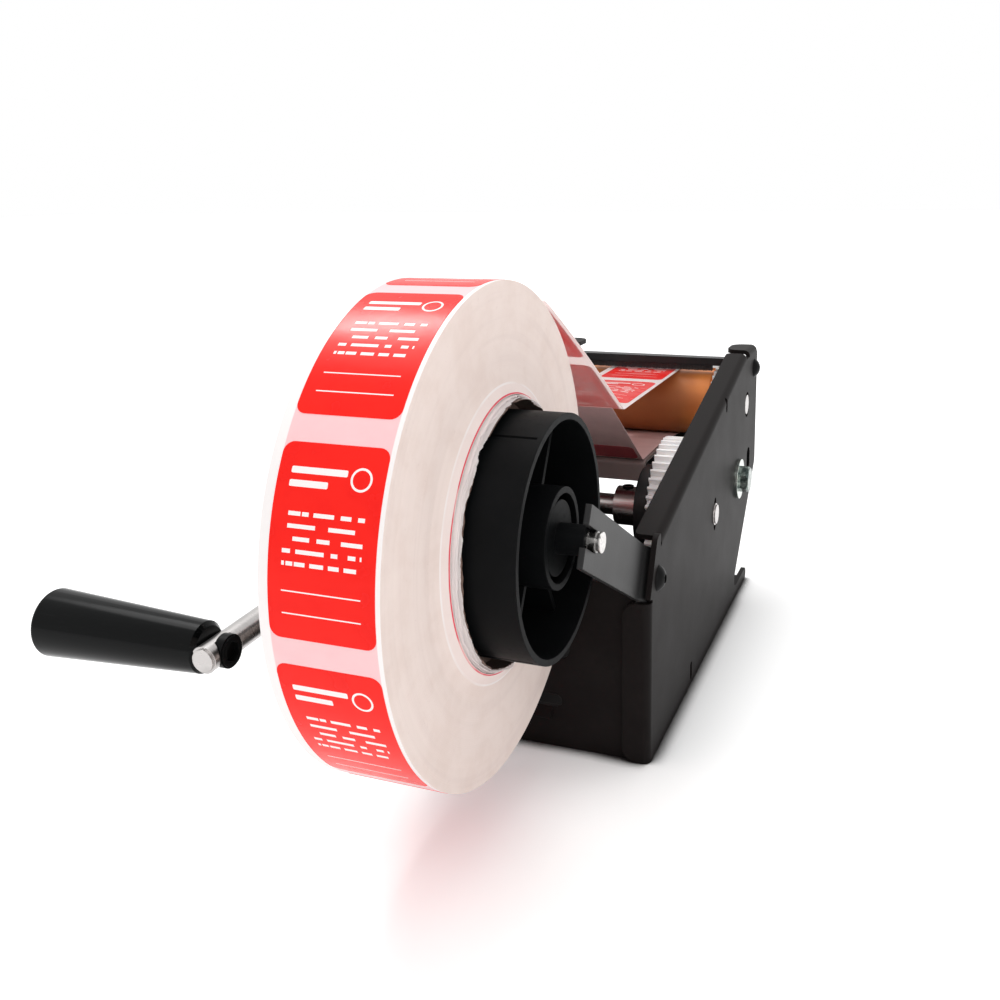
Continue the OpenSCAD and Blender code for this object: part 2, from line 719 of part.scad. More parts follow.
module grip_screw() color(moulded_black) in_lever() translate([0, -grip_back, 0]) rotate([0, 90, 0]) difference() {
    union() {
        translate([0, 0, cap_seat]) cylinder(d = cap_d, h = cap_h - 0.6);
        translate([0, 0, cap_seat]) cylinder(d = cap_d - 1.2, h = cap_h);
        translate([0, 0, -bar_face - 30]) cylinder(d = grip_screw_d, h = cap_seat + bar_face + 30);
    }
    translate([0, 0, cap_seat + 1.6]) hex(6.35, cap_h);
}

// Tapered grip, turned: chamfered at the bar, with a shallow domed end
module lever_grip() color(moulded_black) in_lever()
    translate([-bar_face, -grip_back, 0]) rotate([0, -90, 0]) difference() {
        rotate_extrude() polygon(concat(
            [[0, 0], [grip_d1 / 2 - 1.5, 0], [grip_d1 / 2, 1.5]],
            arc([grip_d2 / 2 - 1.5, grip_len - 2.6], 1.5, -4, 80),
            [[0, grip_len]]
        ));
        translate([0, 0, -1]) cylinder(d = grip_screw_d + 2 * screw_fit, h = 32);
    }

// ---- Return spring: a torsion spring round the shaft, between the left plate and the lever's hub ----

spring_wire = 1.6;
spring_r = 8.2;
spring_turns = 6;
spring_pitch = 2.4;
spring_bend_r = 1.7;
spring_sides = 6;
rings_per_turn = 8;
spring_room = lever_plane - lever_hub_half - clear - half_w;
spring_climb = spring_turns * spring_pitch;
spring_leg = (spring_room - spring_climb - 2 * spring_bend_r) / 2;
spring_arc = spring_turns * 360 / 180 * PI * spring_r;

// The wire's centre line unrolled: distance from the plate, and length round the shaft
spring_path = concat(
    [[0, 0]],
    [for (p = arc([spring_leg, spring_bend_r], spring_bend_r, -90, -20, 2)) p],
    [for (i = [0:spring_turns * rings_per_turn])
        let (f = i / (spring_turns * rings_per_turn))
        [spring_leg + spring_bend_r + f * spring_climb, 2 * spring_bend_r + f * spring_arc]],
    [for (p = arc([spring_room - spring_leg, spring_arc + 3 * spring_bend_r], spring_bend_r, 160, 90, 2)) p],
    [[spring_room, spring_arc + 4 * spring_bend_r]]
);

// Point on the wire in space, with its outward direction
function spring_out(p) = let (a = p.y / spring_r * 180 / PI) [0, cos(a), sin(a)];
function spring_point(p) = [-half_w - p.x, lever_y, lever_z] + spring_r * spring_out(p);

module return_spring() color(bare_steel) {
    n = len(spring_path);
    centre = [for (p = spring_path) spring_point(p)];
    rings = [for (i = [0:n - 1])
        let (
            square_end = i == 0 || i == n - 1,
            along = square_end ? [-1, 0, 0] : unit(centre[i + 1] - centre[i - 1]),
            out = spring_out(spring_path[i]),
            across = unit(cross(along, out))
        )
        for (k = [0:spring_sides - 1])
            let (a = k * 360 / spring_sides)
            centre[i] + spring_wire / 2 * (cos(a) * unit(cross(across, along)) + sin(a) * across)];
    sides = [for (i = [0:n - 2]) for (k = [0:spring_sides - 1])
        let (a = i * spring_sides + k, b = i * spring_sides + (k + 1) % spring_sides)
        each [[a, a + spring_sides, b], [b, a + spring_sides, b + spring_sides]]];
    caps = [
        [for (k = [0:spring_sides - 1]) k],
        [for (k = [spring_sides - 1:-1:0]) (n - 1) * spring_sides + k]
    ];
    gaps = [for (i = [0:n - 1]) for (j = [i + rings_per_turn - 2:1:n - 1]) norm(centre[i] - centre[j]) - spring_wire];
    echo(least_gap_of_spring_to_itself = min(gaps));
    polyhedron(points = rings, faces = concat(sides, caps), convexity = 6);
}

// ---- Roll, hub and web ----

hub_wall = 2;
boss_d = 31;
boss_bore = 27;
sleeve_d = 9.5;
sleeve_end = inner_w - arm_jog - arm_t - clear;
hub_inner_disc = 2.5;
rib_count = 6;
rib_t = 1.8;
rib_depth = 9;
pad_wide = 59.2;
pad_turn = 55;

// Moulded hub: rim in two steps with raised pads, disc, ringed boss, ribs and sleeve
module hub_half() difference() {
    union() {
        ring_x(rod_axis, hub_d - 0.8, hub_d - 2 * hub_wall, -0.1, hub_len / 2);
        ring_x(rod_axis, hub_d, hub_d - 2 * hub_wall, hub_len / 2 - 1.6, hub_len / 2);
        intersection() {
            ring_x(rod_axis, hub_d, hub_d - 2 * hub_wall, -0.1, hub_len / 2);
            translate([0, rod_axis.x, rod_axis.y]) for (a = [pad_turn:120:359]) along_x(hub_len)
                polygon([[0, 0], polar(hub_d, a - pad_wide), polar(hub_d, a), polar(hub_d, a + pad_wide)]);
        }
        rod_x(rod_axis, hub_d - 2 * hub_wall + 0.2, -0.1, hub_inner_disc / 2);
        ring_x(rod_axis, boss_d, boss_bore, 0, hub_len / 2);
        rod_x(rod_axis, boss_bore - 4, 0, hub_len / 2 - 1);
        rod_x(rod_axis, boss_bore + 0.2, 0, hub_len / 2 - 6);
        rod_x(rod_axis, sleeve_d, 0, sleeve_end);
        translate([0, rod_axis.x, rod_axis.y]) for (k = [0:rib_count - 1]) rotate([k * 360 / rib_count, 0, 0])
            translate([0, boss_d / 2 - 1, -rib_t / 2])
                cube([hub_len / 2 - rib_depth, (hub_d - boss_d) / 2 - hub_wall + 1.5, rib_t]);
    }
    rod_x(rod_axis, rod_d + 2 * run_fit, -1, sleeve_end + 1);
}

module roll_hub() color(moulded_black) on_both_sides() hub_half();

core_recess = 3;
core_id = hub_d + 2 * core_gap;
core_r = core_id / 2 + core_wall;
roll_lip_r = core_r + 11.7;

module roll_core() color(board_brown)
    ring_x(rod_axis, 2 * core_r, core_id, -web_w / 2 + core_recess, web_w / 2 - core_recess);

// Sideways run-out of the turns at radius r: the inner ones stand out to the right
function run_out(r) = roll_lip * pow((roll_lip_r - r) / (roll_lip_r - core_r), 2);

module label_roll() color(paper_white) {
    inner = [for (i = [0:5]) roll_lip_r + (core_r - roll_lip_r) * i / 5];
    translate([0, rod_axis.x, rod_axis.y]) rotate([0, 90, 0]) rotate_extrude() polygon(concat(
        [[roll_r, web_w / 2]],
        [for (r = inner) [r, web_w / 2 + run_out(r)]],
        [for (i = [5:-1:0]) [inner[i], -web_w / 2 + run_out(inner[i])]],
        [[roll_r, -web_w / 2]]
    ));
}

// Liner with labels: off the roll, down to the bend, level over the drive roller to the peel edge
module label_web() color(label_red) translate([-web_w / 2, 0, 0]) along_x(web_w) polygon(ribbon(concat(
    [web_start],
    corner(web_start, [web_bend.x, web_bend.y, 5], nose + [0, nose_r + web_lift]),
    [nose + [0, nose_r + web_lift]]
), web_t));

// Travel direction of the straight run from the peel nose to the front of the drive roller
nose_wrap = nose_r + web_lift;
roller_wrap = roller_r + web_lift;
run_dir = direction(roller_axis - nose) + asin((roller_wrap - nose_wrap) / norm(roller_axis - nose));
// Angle on the roller where the liner leaves it for the guide plate
leave_line = direction(liner_front - roller_axis) + acos(roller_wrap / norm(liner_front - roller_axis));

// Bare liner: round the peel nose, under the drive roller, over the guide plate and up as a loose tail
module waste_liner() color(liner_grey) translate([-web_w / 2, 0, 0]) along_x(web_w) polygon(ribbon(concat(
    arc(nose, nose_wrap, 90, run_dir + 90, 8),
    arc(roller_axis, roller_wrap, run_dir + 90, leave_line > 0 ? leave_line - 360 : leave_line, 12),
    [liner_front],
    corner(liner_front, [liner_rear.x, liner_rear.y, 4], tail_end),
    [tail_end]
), web_t));

right_side_plate();
left_side_plate();
base_pan();
guide_plate();
peel_plate();
front_bar();
front_screws();
brush_holder();
brush_bristles();
right_roll_arm();
left_roll_arm();
arm_screws();
arm_nuts();
shaft_bearings();
roller_bearings();
idler_bolt();
idler_washer();
idler_spacer();
idler_nut();
press_axle();
roll_rod();
return_spring();
label_web();
waste_liner();
lever_shaft();
shaft_collar();
collar_set_screw();
clutch_hub();
lever_hub();
hub_set_screw();
lever_arm();
grip_screw();
lever_grip();
drive_gear();
idler_gear();
roller_axle();
roller_pinion();
drive_roller();
pressure_roller();
roll_hub();
roll_core();
label_roll();
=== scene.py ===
"""Hand-lever label dispenser: the label roll, its web and labels, every finish, the lamps and the camera.

All sizes are in metres, in the machine's own frame: +X right, +Y forward to the peel edge, +Z up.
"""
import math

import bpy
from mathutils import Matrix, Vector, noise


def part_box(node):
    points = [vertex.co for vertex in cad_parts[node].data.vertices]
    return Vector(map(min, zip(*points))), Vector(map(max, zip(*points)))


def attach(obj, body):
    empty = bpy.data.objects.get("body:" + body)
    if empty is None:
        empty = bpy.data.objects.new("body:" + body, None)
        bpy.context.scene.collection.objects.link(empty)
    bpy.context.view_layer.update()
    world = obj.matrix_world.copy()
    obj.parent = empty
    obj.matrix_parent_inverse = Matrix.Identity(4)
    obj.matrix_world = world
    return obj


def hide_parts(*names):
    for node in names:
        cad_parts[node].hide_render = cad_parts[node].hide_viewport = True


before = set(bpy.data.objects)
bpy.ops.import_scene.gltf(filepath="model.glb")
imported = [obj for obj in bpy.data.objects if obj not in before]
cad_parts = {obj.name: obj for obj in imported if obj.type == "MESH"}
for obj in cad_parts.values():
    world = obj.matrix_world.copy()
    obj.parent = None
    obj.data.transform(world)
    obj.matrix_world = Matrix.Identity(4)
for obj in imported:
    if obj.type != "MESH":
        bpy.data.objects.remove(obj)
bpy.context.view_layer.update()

MM = 0.001


# ---------------------------------------------------------------- finishes: shader maths as expressions

class Field:
    """A value, colour or vector that varies over a surface, for use in Python expressions."""

    def __init__(self, finish, socket):
        self.finish = finish
        self.socket = socket

    def math(self, operation, *terms):
        """Adds a Math node and gives its result."""
        return self.finish.node("ShaderNodeMath", {"operation": operation}, dict(enumerate(terms)))

    def __add__(self, other):
        return self.math("ADD", self, other)

    def __sub__(self, other):
        return self.math("SUBTRACT", self, other)

    def __mul__(self, other):
        return self.math("MULTIPLY", self, other)

    def __truediv__(self, other):
        return self.math("DIVIDE", self, other)

    def __pow__(self, other):
        return self.math("POWER", self, other)

    def __mod__(self, other):
        return self.math("FLOORED_MODULO", self, other)

    def __lt__(self, other):
        return self.math("LESS_THAN", self, other)

    def __gt__(self, other):
        return self.math("GREATER_THAN", self, other)

    def __abs__(self):
        return self.math("ABSOLUTE", self)

    def __rsub__(self, other):
        return self.math("SUBTRACT", other, self)

    def __rtruediv__(self, other):
        return self.math("DIVIDE", other, self)

    __radd__ = __add__
    __rmul__ = __mul__

    def at_least(self, other):
        """The larger of the two."""
        return self.math("MAXIMUM", self, other)

    def at_most(self, other):
        """The smaller of the two."""
        return self.math("MINIMUM", self, other)

    def ramp(self, low, high):
        """0 below low, 1 above high, smooth between."""
        return self.finish.node(
            "ShaderNodeMapRange", {"interpolation_type": "SMOOTHSTEP"},
            {"Value": self, "From Min": low, "From Max": high},
        )

    def part(self, index):
        """One coordinate of a vector."""
        return self.finish.node("ShaderNodeSeparateXYZ", {}, {0: self}, output=index)


class Wiring:
    """A node tree to which nodes are added, each giving back a field."""

    def __init__(self, tree):
        self.tree = tree

    def node(self, kind, settings, inputs, output=0):
        """Adds a node: its settings come first, then the values or links of its sockets."""
        made = self.tree.nodes.new(kind)
        for key, value in settings.items():
            setattr(made, key, value)
        for key, value in inputs.items():
            if isinstance(value, Field):
                self.tree.links.new(value.socket, made.inputs[key])
            elif isinstance(value, tuple) and len(made.inputs[key].default_value) == 4:
                made.inputs[key].default_value = (*value, 1.0)
            else:
                made.inputs[key].default_value = value
        return Field(self, made.outputs[output])

    def seen(self):
        """1 for what the camera sees, also in metal and gloss; 0 for what only lights the machine."""
        rays = [self.node("ShaderNodeLightPath", {}, {}, output=f"Is {kind} Ray")
                for kind in ("Camera", "Glossy", "Transmission")]
        return rays[0].at_least(rays[1]).at_least(rays[2])


class Finish(Wiring):
    """One material: a Principled shader whose constants are set by name, and fields that vary."""

    def __init__(self, name, **constants):
        self.material = bpy.data.materials.new(name)
        self.material.use_nodes = True
        super().__init__(self.material.node_tree)
        self.shader = self.tree.nodes["Principled BSDF"]
        for words, value in constants.items():
            socket = self.shader.inputs[words.replace("_", " ").title().replace("Ior", "IOR")]
            if isinstance(value, tuple) and len(socket.default_value) == 4:
                value = (*value, 1.0)
            socket.default_value = value
        self.normal = None

    def place(self):
        """Coordinates in millimetres, fixed to the piece."""
        raw = self.node("ShaderNodeTexCoord", {}, {}, output="Object")
        return self.node("ShaderNodeVectorMath", {"operation": "SCALE"}, {0: raw, "Scale": 1 / MM})

    def vector(self, x, y, z):
        """A vector from three values or fields."""
        return self.node("ShaderNodeCombineXYZ", {}, {0: x, 1: y, 2: z})

    def noise(self, size, place=None, detail=3.0, rough=0.5):
        """Noise from 0 to 1 whose features are about size millimetres."""
        return self.node(
            "ShaderNodeTexNoise", {},
            {"Vector": place or self.place(), "Scale": 1 / size, "Detail": detail, "Roughness": rough},
        )

    def blend(self, mask, first, second):
        """The first colour where mask is 0, the second where it is 1."""
        return self.node("ShaderNodeMix", {"data_type": "RGBA"}, {0: mask, 6: first, 7: second}, output=2)

    def paint(self, **fields):
        """Links fields to the shader's own sockets."""
        for words, field in fields.items():
            self.tree.links.new(field.socket, self.shader.inputs[words.replace("_", " ").title()])

    def round_edges(self, radius):
        """Catches light along sharp edges, radius in millimetres."""
        self.normal = self.node("ShaderNodeBevel", {"samples": 4}, {"Radius": radius * MM})

    def relief(self, height, depth):
        """Bump from a height field of 0 to 1, depth in millimetres."""
        inputs = {"Height": height, "Distance": depth * MM, "Strength": 1.0}
        if self.normal:
            inputs["Normal"] = self.normal
        self.normal = self.node("ShaderNodeBump", {}, inputs)

    def let_through(self, share, colour):
        """Thin paper: that share of the light comes from the other side, in that colour."""
        behind = self.node("ShaderNodeBsdfTranslucent", {}, {"Color": colour})
        front = Field(self, self.shader.outputs[0])
        sheet = self.node("ShaderNodeMixShader", {}, {0: share, 1: front, 2: behind})
        self.tree.links.new(sheet.socket, self.tree.nodes["Material Output"].inputs["Surface"])

    def done(self):
        """Links the surface's fine shape and gives the material."""
        if self.normal:
            self.paint(normal=self.normal)
        return self.material


def powder_coat(name, colour, rough=0.5, edge=0.5, shine=0.2):
    """Satin powder coat on sheet steel: fine orange peel and a faint cloudiness."""
    coat = Finish(name, specular_ior_level=shine)
    cloud = coat.noise(18, detail=4)
    speck = coat.noise(0.35, detail=2)
    light = tuple(c * 1.25 + 0.002 for c in colour)
    coat.paint(
        base_color=coat.blend(cloud.ramp(0.3, 0.75) * 0.6 + speck.ramp(0.55, 0.8) * 0.25, colour, light),
        roughness=cloud * 0.12 + rough - 0.06 + speck * 0.05,
    )
    coat.round_edges(edge)
    coat.relief(coat.noise(0.7, detail=2), 0.035)
    return coat.done()


def moulded(name, colour, rough=0.4, grain=0.012, edge=0.4, shine=0.25):
    """Moulded plastic with a faint flow sheen."""
    plastic = Finish(name, specular_ior_level=shine)
    flow = plastic.noise(12, detail=3)
    scuff = plastic.noise(2.2, detail=5, rough=0.65)
    light = tuple(c * 1.3 + 0.001 for c in colour)
    plastic.paint(
        base_color=plastic.blend(flow.ramp(0.35, 0.7) * 0.5, colour, light),
        roughness=flow * 0.1 + scuff.ramp(0.5, 0.8) * 0.12 + rough - 0.08,
    )
    plastic.round_edges(edge)
    plastic.relief(plastic.noise(0.5, detail=2), grain)
    return plastic.done()


def gloss_black(name):
    """High-gloss phenolic grip: fine hairline scratches in a deep black."""
    gloss = Finish(name, specular_ior_level=0.11)
    x, y, z = (gloss.place().part(i) for i in range(3))
    hairs = gloss.noise(0.6, gloss.vector(x * 0.06, y, z), detail=4)
    gloss.paint(
        base_color=gloss.blend(hairs.ramp(0.5, 0.9), (0.002, 0.0024, 0.0025), (0.005, 0.0054, 0.0055)),
        roughness=hairs * 0.1 + 0.1,
    )
    gloss.relief(gloss.noise(9, detail=1), 0.02)
    return gloss.done()


def turned_steel(name, colour, rough=0.24, axis=0, lit_end_from=None):
    """Ground steel bar: fine lines round the axis, with stains along it, and, where an end is given, an end
    face brighter than the body.
    """
    steel = Finish(name, metallic=1.0)
    parts = [steel.place().part(i) for i in range(3)]
    along = parts[axis]
    lines = steel.noise(0.16, steel.vector(along, 0.0, 0.0), detail=2)
    stain = steel.noise(7, detail=5, rough=0.6)
    dull = tuple(c * 0.72 for c in colour)
    tone = steel.blend(stain.ramp(0.45, 0.75) * 0.6 + lines * 0.2, colour, dull)
    # painted reflection: the end face keeps a bright steel colour while a darker colour given to the body
    # stands in for the dark things it reflects
    if lit_end_from:
        scratch = steel.noise(1.2, detail=4, rough=0.7)
        bright = steel.blend(scratch.ramp(0.4, 0.7), (0.66, 0.64, 0.62), (0.44, 0.43, 0.42))
        tone = steel.blend(along > lit_end_from, tone, bright)
    steel.paint(
        base_color=tone,
        roughness=lines * 0.12 + stain * 0.1 + rough - 0.1,
    )
    steel.round_edges(0.3)
    steel.relief(lines, 0.004)
    return steel.done()


def zinc_plate(name, dark, light):
    """Bright zinc plate: slightly bluish, with passivate clouds."""
    zinc = Finish(name, metallic=1.0)
    cloud = zinc.noise(2.5, detail=4)
    zinc.paint(
        base_color=zinc.blend(cloud.ramp(0.35, 0.7), dark, light),
        roughness=cloud * 0.14 + 0.14,
    )
    zinc.round_edges(0.35)
    zinc.relief(zinc.noise(0.9, detail=3), 0.02)
    return zinc.done()


def nylon(name):
    """White nylon gear: milky, with faint warm clouds."""
    scatter = (8 * MM, 7.5 * MM, 7 * MM)
    milk = Finish(name, subsurface_weight=0.8, subsurface_radius=scatter, specular_ior_level=0.4)
    cloud = milk.noise(6, detail=3)
    milk.paint(
        base_color=milk.blend(cloud.ramp(0.35, 0.7), (0.985, 0.97, 0.965), (0.96, 0.94, 0.93)),
        roughness=cloud * 0.15 + 0.33,
    )
    milk.round_edges(0.15)
    milk.relief(milk.noise(0.4, detail=2), 0.01)
    return milk.done()


WEB_SHADE_TO = (19.0, 33.0)     # millimetres from the middle, where the painted shade of the web above the roller fades out


def gum_rubber(name):
    """Ground gum rubber: amber orange, with grinding lines round it, and painted shade: browner across the
    middle, where the web above shades it.
    """
    scatter = (3 * MM, 1.5 * MM, 0.6 * MM)
    gum = Finish(name, specular_ior_level=0.32, subsurface_weight=0.08, subsurface_radius=scatter)
    x = gum.place().part(0)
    lines = gum.noise(0.3, gum.vector(x, 0.0, 0.0), detail=3)
    patch = gum.noise(14, detail=3)
    mottle = patch.ramp(0.3, 0.75) * 0.6 + lines * 0.3
    underlayer = gum.blend(mottle, (0.88, 0.3, 0.07), (0.62, 0.17, 0.04))
    # painted shade of the web: the roller's colour turns browner across the web's width
    web_shade = 1.0 - abs(x).ramp(*WEB_SHADE_TO)
    gum.paint(
        base_color=gum.blend(web_shade * 0.8, underlayer, (0.3, 0.095, 0.032)),
        roughness=lines * 0.15 + patch * 0.1 + 0.38,
    )
    gum.relief(lines, 0.02)
    return gum.done()


def black_rubber(name):
    """Matt black rubber with a grey bloom."""
    rubber = Finish(name, specular_ior_level=0.35)
    bloom = rubber.noise(5, detail=4)
    rubber.paint(
        base_color=rubber.blend(bloom.ramp(0.4, 0.8), (0.028, 0.028, 0.029), (0.055, 0.053, 0.052)),
        roughness=bloom * 0.2 + 0.6,
    )
    rubber.round_edges(0.4)
    rubber.relief(rubber.noise(0.3, detail=2), 0.02)
    return rubber.done()


def board(name):
    """Wound grey-brown core board."""
    card = Finish(name)
    fibre = card.noise(0.8, detail=5, rough=0.7)
    card.paint(
        base_color=card.blend(fibre, (0.2, 0.13, 0.105), (0.11, 0.075, 0.06)),
        roughness=fibre * 0.1 + 0.8,
    )
    card.relief(fibre, 0.08)
    return card.done()


def bristle(name):
    """Stiff black bristles, some of them dusty."""
    fibre = Finish(name, specular_ior_level=0.5)
    shade = fibre.noise(0.8, detail=2)
    fibre.paint(
        base_color=fibre.blend(shade, (0.012, 0.011, 0.012), (0.05, 0.045, 0.045)),
        roughness=shade * 0.2 + 0.4,
    )
    return fibre.done()


# Colours that the labels, the liner and the roll share
RED = (0.96, 0.018, 0.012)
RED_DEEP = (0.88, 0.012, 0.01)
LINER = (0.93, 0.89, 0.88)
PINK = (0.92, 0.55, 0.57)
PRINT_WHITE = (0.95, 0.9, 0.89)

# Labels: sizes along and across the web, and where they start
LABEL_LONG = 50 * MM
LABEL_PITCH = 57.66 * MM
LABEL_HALF = 15.15 * MM
LABEL_CORNER = 3 * MM
LABEL_SHIFT = 0.85 * MM      # the labels sit nearer the web's right edge
LABEL_FIRST_TOP = 76.1       # degrees up from straight behind the roll, where the first full label ends
WEB_LEAD = 3 * MM            # bare liner between the roll and the web's first label

# The labels' print in millimetres: middles and half sizes, across and along the label
RING_MIDDLE = (8.6, 41.6)
RING_R = 2.7
RING_LINE = 0.3
BARS = (((-3.4, 42.8), (8.0, 0.85)), ((-5.9, 39.4), (5.5, 0.85)))
BAR_CORNER = 0.4
DASHES_MIDDLE = (0, 26.75)
DASHES_HALF = (11.2, 7.75)
DASH_LENGTH = 2.4
DASH_LEVEL = 0.44            # noise level above which a row is printed
ROW_SHIFT = 9.0              # sets the dashes of one row apart from the next row's
ROWS_FROM = 19.0
ROW_PITCH = 3.1
ROW_FILL = 0.34              # the printed share of each row's pitch
RULES = (((0, 12.6), (11.2, 0.17)), ((0, 6.8), (11.2, 0.17)))
SHARP = 0.1                  # corner of the rules and of the block of dashes


def web_place(finish):
    """Across and along the web in millimetres, as stored on its mesh."""
    stored = finish.node("ShaderNodeAttribute", {"attribute_name": "web_place"}, {}, output="Vector")
    return stored.part(0), stored.part(1)


def rounded_box(across, along, middle, half, radius):
    """1 inside a box with round corners, given in the web's millimetres."""
    over_x = (abs(across - middle[0]) - (half[0] - radius)).at_least(0.0)
    over_y = (abs(along - middle[1]) - (half[1] - radius)).at_least(0.0)
    return (over_x * over_x + over_y * over_y) < radius * radius


def label_face(name, thin=False):
    """Glossy red label with a generic print: a ring, two bars, rows of dashes and two rules to write on."""
    face = Finish(name, specular_ior_level=0.12)
    across, along = web_place(face)
    from_ring = ((across - RING_MIDDLE[0]) ** 2.0 + (along - RING_MIDDLE[1]) ** 2.0) ** 0.5
    ring = abs(from_ring - RING_R) < RING_LINE
    upper_bar, lower_bar = (rounded_box(across, along, *bar, BAR_CORNER) for bar in BARS)
    row = (along - ROWS_FROM) / ROW_PITCH
    row_place = face.vector(across, (row - row % 1.0) * ROW_SHIFT, 0.0)
    broken = face.noise(DASH_LENGTH, row_place, detail=0.0) > DASH_LEVEL
    block = rounded_box(across, along, DASHES_MIDDLE, DASHES_HALF, SHARP)
    dashes = broken * block * ((row % 1.0) < ROW_FILL)
    upper_rule, lower_rule = (rounded_box(across, along, *rule, SHARP) for rule in RULES)
    print_mask = (ring + upper_bar + lower_bar + dashes + upper_rule + lower_rule).at_most(1.0)
    mottle = face.noise(9, detail=3)
    red = face.blend(mottle.ramp(0.35, 0.75) * 0.55, RED, RED_DEEP)
    if thin:
        haze = face.noise(13, detail=4, rough=0.6).ramp(0.42, 0.72)
        red = face.blend(haze * 0.55, red, (0.95, 0.3, 0.28))
        face.let_through(0.45, face.blend(print_mask, (0.85, 0.34, 0.34), PRINT_WHITE))
    face.paint(
        base_color=face.blend(print_mask, red, PRINT_WHITE),
        roughness=mottle * 0.12 + print_mask * 0.1 + 0.2,
    )
    face.relief(face.noise(5, detail=2), 0.05)
    return face.done()


def show_through(across, along, middle):
    """1 where a label lies on the liner, from its place along the web."""
    half = (LABEL_HALF / MM, LABEL_LONG / MM / 2)
    within = (along % (LABEL_PITCH / MM)) - half[1]
    return rounded_box(across, within, (middle, 0), half, LABEL_CORNER / MM)


def liner_face(name, tint, depth, shaded_tint=None, shade_from=0.0):
    """Glassine liner: white margins, with the labels on its other side showing through in a tint.

    The tint turns to a second, duller tint a given distance along the web: painted light near the roll,
    where the labels are lit through from above, and painted shade further on, where they lie in shade.
    """
    paper = Finish(name, specular_ior_level=0.5)
    across, along = web_place(paper)
    shown = show_through(across, along, LABEL_SHIFT / MM)
    cloud = paper.noise(8, detail=4)
    fibre = paper.noise(0.7, detail=4, rough=0.6)
    plain = paper.blend(cloud.ramp(0.3, 0.8) * 0.5, LINER, tuple(c * 0.93 for c in LINER))
    label = tint
    # painted light and shade: the show-through tint changes from lit to shaded along the web
    if shaded_tint:
        turned = along.ramp(shade_from - 14.0, shade_from + 8.0)
        label = paper.blend(turned, tint, shaded_tint)
    paper.let_through(0.55, (0.97, 0.9, 0.88))
    paper.paint(
        base_color=paper.blend(shown * (cloud * 0.2 + depth), plain, label),
        roughness=cloud * 0.12 + 0.3,
    )
    paper.relief(cloud * 0.8 + fibre * 0.2, 0.12)
    return paper.done()


def outer_turn(name):
    """The roll's outer turn between its labels: the labels of the turn below show through in pink."""
    paper = Finish(name, specular_ior_level=0.45)
    x = paper.place().part(0)
    below = 1.0 - (abs(x - LABEL_SHIFT / MM) - LABEL_HALF / MM).ramp(-0.15, 0.15)
    cloud = paper.noise(7, detail=4)
    paper.paint(
        base_color=paper.blend(below * (cloud * 0.25 + 0.78), LINER, PINK),
        roughness=cloud * 0.15 + 0.3,
    )
    paper.relief(cloud, 0.08)
    return paper.done()


def plain_liner(name, colour, through=0.0):
    """Siliconed backing paper, of which torn edges let some light through."""
    paper = Finish(name, specular_ior_level=0.5)
    cloud = paper.noise(9, detail=4)
    if through:
        paper.let_through(through, (0.99, 0.96, 0.955))
    paper.paint(
        base_color=paper.blend(cloud.ramp(0.3, 0.8), colour, tuple(c * 0.88 for c in colour)),
        roughness=cloud * 0.15 + 0.3,
    )
    paper.relief(cloud, 0.1)
    return paper.done()


HIGHLIGHT_RING_OUT = 3.1          # millimetres from the red turn out to the painted highlight ring


def wound_edge(name, axis, red_turn_r):
    """Side of the roll: the edges of hundreds of turns in warm white, a red turn by the core and a painted
    highlight ring just outside it.
    """
    side = Finish(name, specular_ior_level=0.25)
    x, y, z = (side.place().part(i) for i in range(3))
    dy = y - axis.y / MM
    dz = z - axis.z / MM
    radius = (dy * dy + dz * dz) ** 0.5
    turns = side.noise(0.28, side.vector(radius, 0.0, 0.0), detail=3)
    rings = side.noise(3.2, side.vector(radius, dy * 0.05, dz * 0.05), detail=2)
    smear = side.noise(11, detail=5, rough=0.6)
    speck = side.noise(1.3, detail=3)
    base = side.blend(smear.ramp(0.38, 0.7) * 0.8, (0.9, 0.77, 0.715), (0.84, 0.7, 0.64))
    ring_mask = rings.ramp(0.5, 0.8) * 0.3 + turns.ramp(0.55, 0.85) * 0.16
    ringed = side.blend(ring_mask, base, (0.74, 0.61, 0.57))
    stained = side.blend(speck.ramp(0.66, 0.8) * 0.35, ringed, (0.7, 0.56, 0.52))
    from_red = abs(radius - red_turn_r)
    inner = 1.0 - (radius - red_turn_r).ramp(2.7, 3.3)
    # painted highlight: a pale ring broken by noise, just outside the red turn, stands in for light
    # catching the raised turns there
    from_highlight = abs(radius - red_turn_r - HIGHLIGHT_RING_OUT)
    highlight_ring = (1.0 - from_highlight.ramp(0.15, 0.45)) * side.noise(20, detail=2).ramp(0.3, 0.6)
    pinker = side.blend(inner * 0.35, stained, (0.95, 0.83, 0.82))
    underlayer = side.blend(highlight_ring * 0.8, pinker, (0.99, 0.93, 0.92))
    worn = side.noise(16, detail=2).ramp(0.36, 0.5)
    red_turn = (1.0 - from_red.ramp(0.1, 0.32)) * (worn * 0.5 + 0.5)
    side.paint(base_color=side.blend(red_turn, underlayer, (0.7, 0.03, 0.07)), roughness=turns * 0.1 + 0.62)
    side.relief(turns * 0.6 + smear * 0.4, 0.1)
    return side.done()


# ---------------------------------------------------------------- meshes

